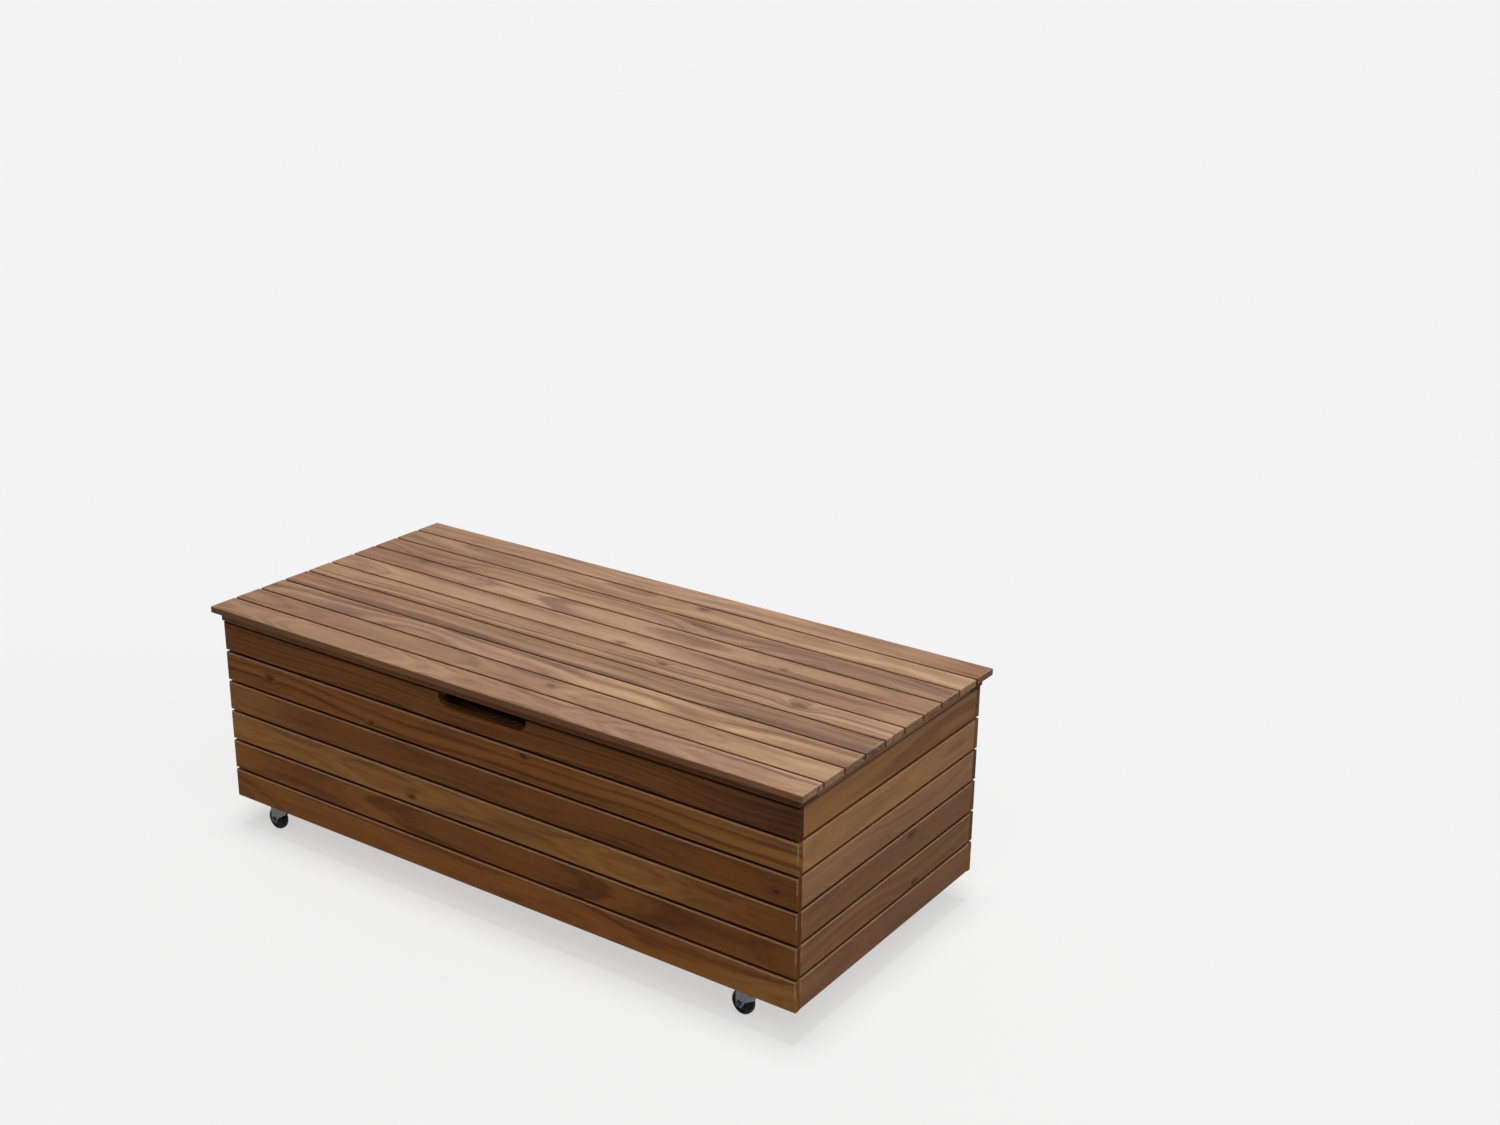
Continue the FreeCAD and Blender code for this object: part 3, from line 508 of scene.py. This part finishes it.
# the other walls: each node holds six boards, and their tones run from the bottom to the top
wallRows = {
    "right_slats": {"along": "Y", "deep": "X", "seed": 51, "heart": 0.12, "contrast": 0.75,
                    "rowTones": ["sideBrown", "sideBrown", "sideBrown", "sideGrey", "sideTan", "sideOlive"],
                    "knots": [(50, 13, 8, 2), (64, -17, 9, 1)]},
    "left_slats": {"along": "Y", "deep": "X", "seed": 57, "heart": 0.12,
                   "rowTones": ["sideBrown", "sideOlive", "sideBrown", "sideTan", "sideGrey", "sideBrown"]},
    "back_slats": {"along": "X", "deep": "Y", "seed": 63, "heart": 0.15,
                   "rowTones": ["sideTan", "sideBrown", "sideOlive", "sideBrown", "sideGrey", "sideOlive"]},
}
wallShared = {
    "rows": 49,             # mm from one board to the next
    "rowHalf": 22.5,        # mm, half a board's width
    "topShade": 0.8, "edgeWearAndHighlight": 0.75, "lowerEdgeShare": 0.08, "gloss": 0.25,
}
for node, look in wallRows.items():
    board = {**axisOrder(node, look["along"], "Z", look["deep"]), **wallShared, **look}
    board["body"] = [(-board["half"][0], "sideOlive"), (board["half"][0], "sideBrown")]
    paint(node, woodFinish(node + "Wood", board))
print("wall boards finished")

# timbers of the frames: along, across, deep, tones at the two ends
timbers = {
    # the front rail, under the lid, takes shaded tones with painted shade
    "lid_rail_front": ("X", "Y", "Z", "shadedOlive", "shadedBrown"),
    "lid_rail_back": ("X", "Y", "Z", "sideTan", "sideBrown"),
    "lid_rail_left": ("Y", "X", "Z", "sideOlive", "sideTan"),
    "lid_rail_right": ("Y", "X", "Z", "sideTan", "sideOlive"),
    "lid_battens": ("Y", "X", "Z", "oliveTan", "sideTan"),
    "corner_posts": ("Z", "X", "Y", "oliveTan", "sideTan"),
    "wall_stiles": ("Z", "X", "Y", "sideTan", "oliveTan"),
    "hinge_rail": ("X", "Z", "Y", "sideTan", "sideOlive"),
    "floor_frame": ("X", "Y", "Z", "warmTan", "oliveTan"),
    "floor_boards": ("X", "Y", "Z", "warmTan", "oliveTan"),
}
# the lid rails get painted shade along their lower rim
railShared = {"bottomShade": 0.7, "gloss": 0.2}
for count, (node, (along, across, deep, first, last)) in enumerate(timbers.items()):
    board = {**axisOrder(node, along, across, deep), "seed": 80 + count, "heart": 0.1, "edgeWearAndHighlight": 0.12}
    board["body"] = [(-board["half"][0], first), (board["half"][0], last)]
    if node.startswith("lid_rail"):
        board.update(railShared)
    paint(node, woodFinish(node + "Wood", board))
print("frame timbers finished")


metals = {
    # painted shade: the zinc is darkened for the forks, which sit in shade under the box
    "shadedZinc": {"colour": (0.27, 0.27, 0.28), "rough": 0.34},
    "brightSteel": {"colour": (0.60, 0.60, 0.60), "rough": 0.36},
    "axleSteel": {"colour": (0.09, 0.09, 0.10), "rough": 0.45},
}
metalWear = {
    "patchScale": 120, "patchShare": 0.5,
    "spangleScale": 420, "spangleShare": 0.16,      # the crystals of the plating
    "fineScale": 2600, "fineRough": 0.2,
    "stainAndShade": (0.22, 0.19, 0.16), "stainShare": 0.25, "stainRough": 0.2,
    "relief": 0.04, "reliefStrength": 0.5,
}
plastics = {
    "wheelPlastic": {"colour": (0.002, 0.002, 0.0022), "rough": 0.40},
    "bumperRubber": {"colour": (0.02, 0.02, 0.02), "rough": 0.75},
}
plasticWear = {
    "dustScale": 90, "dustShare": 0.4, "dustRough": 0.25,
    "fineScale": 1900, "relief": 0.05, "reliefStrength": 0.6,
    "sheen": 0.22,
}


def metalFinish(name, look):
    f = Finish(name)
    place = f.add("ShaderNodeTexCoord").output("Object")
    large = f.noise(place, detail=3, scale=metalWear["patchScale"])
    fine = f.noise(place, detail=2, scale=metalWear["fineScale"])
    spangle = f.add("ShaderNodeTexVoronoi", {"feature": "F1"},
                    {"Vector": place, "Scale": metalWear["spangleScale"]}).output("Color")
    crystal = f.add("ShaderNodeSeparateColor", None, {"Color": spangle})
    level = ((large - 0.5) * metalWear["patchShare"]
             + (crystal - 0.5) * metalWear["spangleShare"] + 1)
    stainAndShade = large.ease(0.56, 0.74)
    colour = f.multiply(look["colour"], f.grey(level))
    colour = f.mix(stainAndShade * metalWear["stainShare"], colour, metalWear["stainAndShade"])
    rough = look["rough"] + (fine - 0.5) * metalWear["fineRough"] + stainAndShade * metalWear["stainRough"]
    normal = f.bump(fine + large * 0.5, metalWear["relief"], metalWear["reliefStrength"])
    return f.surface({"Base Color": colour, "Roughness": rough, "Normal": normal}, {"Metallic": 1.0})


def plasticFinish(name, look):
    f = Finish(name)
    place = f.add("ShaderNodeTexCoord").output("Object")
    dust = f.noise(place, detail=4, scale=plasticWear["dustScale"])
    fine = f.noise(place, detail=2, scale=plasticWear["fineScale"])
    dusty = [part * 2.6 + 0.003 for part in look["colour"]]
    colour = f.mix(dust.ease(0.5, 0.8) * plasticWear["dustShare"], look["colour"], dusty)
    rough = look["rough"] + (dust - 0.5) * plasticWear["dustRough"]
    normal = f.bump(fine, plasticWear["relief"], plasticWear["reliefStrength"])
    return f.surface({"Base Color": colour, "Roughness": rough, "Normal": normal},
                     {"IOR": 1.5, "Specular IOR Level": plasticWear["sheen"]})


fittings = {name: metalFinish(name, look) for name, look in metals.items()}
fittings.update({name: plasticFinish(name, look) for name, look in plastics.items()})
corners = ["front_left", "front_right", "back_left", "back_right"]
fittingNodes = {
    "shadedZinc": ["caster_plates", "caster_kingpins"] + ["caster_fork_" + c for c in corners],
    "brightSteel": ["wall_screws", "floor_screws", "lid_screws", "hinge_screws_box",
                    "hinge_screws_lid", "stay_screws", "caster_screws", "hinge_leaf_box",
                    "hinge_leaf_lid", "hinge_pins", "stay_arm_left", "stay_arm_right",
                    "stay_studs", "stay_brackets", "stay_rivets"],
    "axleSteel": ["caster_axle_" + c for c in corners],
    "wheelPlastic": ["caster_wheel_" + c for c in corners],
    "bumperRubber": ["lid_bumpers"],
}
for name, members in fittingNodes.items():
    for node in members:
        paint(node, fittings[name])
print("fittings finished")


# casters, in mm: along from the swivel axis, up from the floor
wheelLook = {
    "radius": 18.0, "halfWidth": 6.5,
    "boreRadius": 2.6, "hubRadius": 8.4, "hubHalf": 7.1,
    "webHalf": 5.3,         # the sunk ring between hub and tyre
    "tyreInner": 12.4,      # where the tyre's side starts
    "fullness": 2.5,        # 2 gives a round tyre, more a squarer one
    "tyreSteps": 14, "turns": 72,
}
forkLook = {
    "trail": 20.0, "axleHeight": 18.0,
    "bossRadius": 6.0, "axleHole": 2.6, "bossEnd": 317,     # degrees, where the boss meets the skirt
    "skirtStart": (-12.0, 19.2), "skirtBend": (-9.6, 23.8), "skirtEnd": (9.0, 33.6),
    "skirtSteps": 8, "skirtCorner": 2.5,
    "top": 40.8, "topDrop": 0.4, "topCorner": 1.5,
    "thick": 1.8, "halfGap": 7.7,
    "strapWidth": 10.5, "strapInset": 0.4, "strapStep": 0.35, "strapThick": 1.2,
    "strapFoot": 5.0, "strapDrop": 2.2,
    "crownRadius": 12.5, "pinHole": 3.1,
    "rounding": 0.25,
}


def casterPlace(corner):
    # a frame whose X runs forward from the axle, Y along it, Z up, on the floor below the swivel
    joints = {joint["name"]: joint for joint in frame["joints"]}
    side = Vector(joints["wheel_spin_" + corner]["axis"])
    forward = side.cross(Vector((0, 0, 1)))
    at = joints["swivel_" + corner]["pos_m"]
    return Matrix((
        (forward.x, side.x, 0, at[0]),
        (forward.y, side.y, 0, at[1]),
        (0, 0, 1, 0),
        (0, 0, 0, 1),
    ))


def arc(centre, radius, start, end, count):
    points = []
    for i in range(count + 1):
        turn = math.radians(start + (end - start) * i / count)
        points.append((centre[0] + radius * math.cos(turn), centre[1] + radius * math.sin(turn)))
    return points


def hole(centre, radius):
    return arc(centre, radius, 0, 345, 23)


def plate(loops, low, high, rounding):
    # a flat plate between two heights, its outline first and then its holes, with rounded edges
    curve = bpy.data.curves.new("outline", "CURVE")
    curve.dimensions = "2D"
    curve.fill_mode = "BOTH"
    curve.extrude = ((high - low) / 2 - rounding) / mm
    curve.bevel_depth = rounding / mm
    curve.bevel_resolution = 2
    curve.offset = -rounding / mm
    for loop in loops:
        spline = curve.splines.new("POLY")
        spline.points.add(len(loop) - 1)
        for point, (x, y) in zip(spline.points, loop):
            point.co = (x / mm, y / mm, 0, 1)
        spline.use_cyclic_u = True
    item = bpy.data.objects.new("outline", curve)
    bpy.context.scene.collection.objects.link(item)
    solid = item.evaluated_get(bpy.context.evaluated_depsgraph_get())
    mesh = bpy.data.meshes.new_from_object(solid)
    bpy.data.objects.remove(item)
    bpy.data.curves.remove(curve)
    mesh.transform(Matrix.Translation((0, 0, (low + high) / 2 / mm)))
    return mesh


def newPiece(name, meshes, place, finish):
    # one object out of several meshes, all given in the caster's frame
    joined = bmesh.new()
    for mesh in meshes:
        joined.from_mesh(mesh)
        bpy.data.meshes.remove(mesh)
    bmesh.ops.remove_doubles(joined, verts=joined.verts, dist=0.000002)
    bmesh.ops.recalc_face_normals(joined, faces=joined.faces)
    made = bpy.data.meshes.new(name)
    joined.to_mesh(made)
    joined.free()
    made.transform(place)
    made.polygons.foreach_set("use_smooth", [True] * len(made.polygons))
    made.set_sharp_from_angle(angle=math.radians(32))
    made.materials.append(finish)
    item = bpy.data.objects.new(name, made)
    bpy.context.scene.collection.objects.link(item)
    return item


def wheelMesh(look):
    # half the wheel's section from the bore out to the tread, mirrored and then turned
    hub, web, tyre = look["hubRadius"], look["webHalf"], look["tyreInner"]
    half = [
        (look["hubHalf"], look["boreRadius"]), (look["hubHalf"], hub - 0.5),
        (look["hubHalf"] - 0.15, hub - 0.15), (look["hubHalf"] - 0.5, hub),
        (web + 0.4, hub + 0.1), (web, hub + 0.6), (web, tyre - 0.8), (web + 0.5, tyre - 0.2),
    ]
    power = 2 / look["fullness"]
    steps = look["tyreSteps"]
    for i in range(steps):
        a = math.pi / 2 * i / steps
        half.append((look["halfWidth"] * math.cos(a) ** power,
                     tyre + (look["radius"] - tyre) * math.sin(a) ** power))
    section = half + [(0, look["radius"])] + [(-y, r) for y, r in reversed(half)]
    turns = look["turns"]
    points = []
    for i in range(turns):
        a = 2 * math.pi * i / turns
        points += [((r * math.cos(a) - forkLook["trail"]) / mm, y / mm,
                    (r * math.sin(a) + forkLook["axleHeight"]) / mm) for y, r in section]
    n = len(section)
    faces = []
    for i in range(turns):
        here, after = i * n, (i + 1) % turns * n
        faces += [(here + j, here + (j + 1) % n, after + (j + 1) % n, after + j) for j in range(n)]
    mesh = bpy.data.meshes.new("wheel")
    mesh.from_pydata(points, [], faces)
    return mesh


def forkMeshes(look):
    # two cheeks with a swept skirt, a strap raised round each axle end, and the crown over them
    axle = (-look["trail"], look["axleHeight"])
    back = axle[0] - look["bossRadius"]
    top = look["top"] - look["topDrop"]
    corner = look["topCorner"]
    start, bend, end = look["skirtStart"], look["skirtBend"], look["skirtEnd"]
    last = [bend[k] * 2 / 3 + end[k] / 3 for k in (0, 1)]
    skirt = []
    for i in range(look["skirtSteps"] + 1):
        t = i / look["skirtSteps"]
        skirt.append([start[k] * (1 - t) ** 2 + 2 * bend[k] * t * (1 - t) + last[k] * t * t for k in (0, 1)])
    turnIn = (end[0] - look["skirtCorner"], end[1] + look["skirtCorner"])
    cheek = (arc(axle, look["bossRadius"], 180, look["bossEnd"], 16) + skirt
             + arc(turnIn, look["skirtCorner"], -60, 0, 6)
             + [(end[0], top - corner + look["topDrop"]), (end[0] - corner, top),
                (back + corner, top), (back, top - corner + look["topDrop"])])
    strapEnd = back + look["strapWidth"]
    strapTop = look["top"] - look["strapDrop"]
    strap = (arc(axle, look["bossRadius"] - look["strapInset"], 180, 330, 16)
             + [(strapEnd, axle[1] + look["strapFoot"]), (strapEnd, strapTop),
                (back + look["strapInset"], strapTop)])
    inner = look["halfGap"]
    outer = inner + look["thick"]
    meet = math.degrees(math.acos(-math.sqrt(look["crownRadius"] ** 2 - outer ** 2) / look["crownRadius"]))
    crown = [(back, outer), (back, -outer)] + arc((0, 0), look["crownRadius"], -meet, meet, 48)
    meshes = [plate([crown, hole((0, 0), look["pinHole"])],
                    look["top"] - look["thick"], look["top"], look["rounding"])]
    upright = Matrix(((1, 0, 0, 0), (0, 0, -1, 0), (0, 1, 0, 0), (0, 0, 0, 1)))
    face = outer - look["strapStep"]
    for outline, low, high in ((cheek, inner, face), (cheek, -face, -inner),
                               (strap, outer - look["strapThick"], outer),
                               (strap, -outer, look["strapThick"] - outer)):
        meshes.append(plate([outline, hole(axle, look["axleHole"])], low, high, look["rounding"]))
        meshes[-1].transform(upright)
    return meshes


for corner in corners:
    place = casterPlace(corner)
    tag = corner.title().replace("_", "")
    fork = newPiece("fork" + tag, forkMeshes(forkLook), place, fittings["shadedZinc"])
    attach(fork, "caster_" + corner)
    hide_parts("caster_fork_" + corner)
    wheel = newPiece("wheel" + tag, [wheelMesh(wheelLook)], place, fittings["wheelPlastic"])
    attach(wheel, "wheel_" + corner)
    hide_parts("caster_wheel_" + corner)
print("casters built")


studio = {
    "reach": 60,            # metres from the middle of the floor to its edge
    "floorTone": 0.30,      # how much light the floor gives back
    "floorGlow": 0.558,     # light of its own, which keeps the shadows pale
    "paleness": 0.888,      # the backdrop's brightness
    "skyAll": 0.06,         # light from everywhere above
    "skyBack": 0.46,        # extra from low down behind, for the sheen on the lid
    "skyBelow": 0.45,       # what the wood and metal see below them, in place of the floor
}
# power, softness in degrees across, where it comes from clockwise from +Y, degrees above the floor
lights = {
    "mainLight": (2.0, 14, 20, 90),
    "frontLight": (1.1, 36, 145, 55),
    "sideLight": (0.6, 40, 80, 25),
}
view = {
    "azimuth": 34.39, "elevation": 19.94, "roll": 0.770,     # degrees
    "position": (1.643, -1.983, 1.413),
    "lensMm": 45.84, "sensorMm": 36.0, "sideShift": -0.00167,
}

reach = studio["reach"]
floorMesh = bpy.data.meshes.new("studioFloor")
floorMesh.from_pydata([(-reach, -reach, 0), (reach, -reach, 0), (reach, reach, 0), (-reach, reach, 0)],
                      [], [(0, 1, 2, 3)])
floor = bpy.data.objects.new("studioFloor", floorMesh)
bpy.context.scene.collection.objects.link(floor)
f = Finish("floorPaint")
haze = f.noise(f.add("ShaderNodeTexCoord").output("Object"), detail=2, scale=0.8)
floorMesh.materials.append(f.surface(
    {"Base Color": f.grey(studio["floorTone"] + (haze - 0.5) * 0.004)},
    {"Roughness": 0.9, "Specular IOR Level": 0.0, "Emission Color": (1, 1, 1, 1),
     "Emission Strength": studio["floorGlow"]}))
floor.visible_glossy = False
floor.visible_diffuse = False

world = bpy.data.worlds.new("studioWorld")
bpy.context.scene.world = world
w = Finish("studioWorld", world)
ray = w.add("ShaderNodeTexCoord").output("Generated")
toward = w.add("ShaderNodeSeparateXYZ", None, {"Vector": ray})
height = toward.output("Z")
behind = toward.output("Y").ease(-0.25, 0.75) * height.ease(0.95, 0.25)
above = height.ease(-0.10, 0.06)
glow = (studio["skyAll"] + behind * studio["skyBack"]) * above + (1 - above) * studio["skyBelow"]
sky = w.add("ShaderNodeBackground", None, {"Color": (1, 1, 1, 1), "Strength": glow})
backdrop = w.add("ShaderNodeBackground", None, {"Color": (*[studio["paleness"]] * 3, 1)})
seen = w.add("ShaderNodeLightPath").output("Is Camera Ray")
both = w.add("ShaderNodeMixShader", None, {0: seen, 1: sky, 2: backdrop})
w.add("ShaderNodeOutputWorld", None, {"Surface": both})


def awayFrom(azimuth, height):
    # the direction of a place that far round, clockwise from +Y, and that far up, in degrees
    a, h = math.radians(azimuth), math.radians(height)
    return Vector((math.sin(a) * math.cos(h), math.cos(a) * math.cos(h), math.sin(h)))


for name, (power, softness, azimuth, height) in lights.items():
    lamp = bpy.data.lights.new(name, "SUN")
    lamp.energy = power
    lamp.angle = math.radians(softness)
    item = bpy.data.objects.new(name, lamp)
    item.rotation_mode = "QUATERNION"
    item.rotation_quaternion = awayFrom(azimuth, height).to_track_quat("Z", "Y")
    item.location = awayFrom(azimuth, height) * 5
    bpy.context.scene.collection.objects.link(item)

backward = awayFrom(180 - view["azimuth"], view["elevation"])
roll = math.radians(view["roll"])
level = (-backward).cross(Vector((0, 0, 1))).normalized()
upright = level.cross(-backward)
right = level * math.cos(roll) + upright * math.sin(roll)
up = upright * math.cos(roll) - level * math.sin(roll)
camera = bpy.data.cameras.new("studioCamera")
camera.sensor_width = view["sensorMm"]
camera.lens = view["lensMm"]
camera.shift_x = view["sideShift"]
camera.clip_start = 0.02
camera.clip_end = 300
cameraItem = bpy.data.objects.new("studioCamera", camera)
cameraItem.matrix_world = Matrix((
    (right.x, up.x, backward.x, view["position"][0]),
    (right.y, up.y, backward.y, view["position"][1]),
    (right.z, up.z, backward.z, view["position"][2]),
    (0, 0, 0, 1),
))
bpy.context.scene.collection.objects.link(cameraItem)
bpy.context.scene.camera = cameraItem
bpy.context.scene.view_settings.view_transform = "Standard"
print("studio ready")
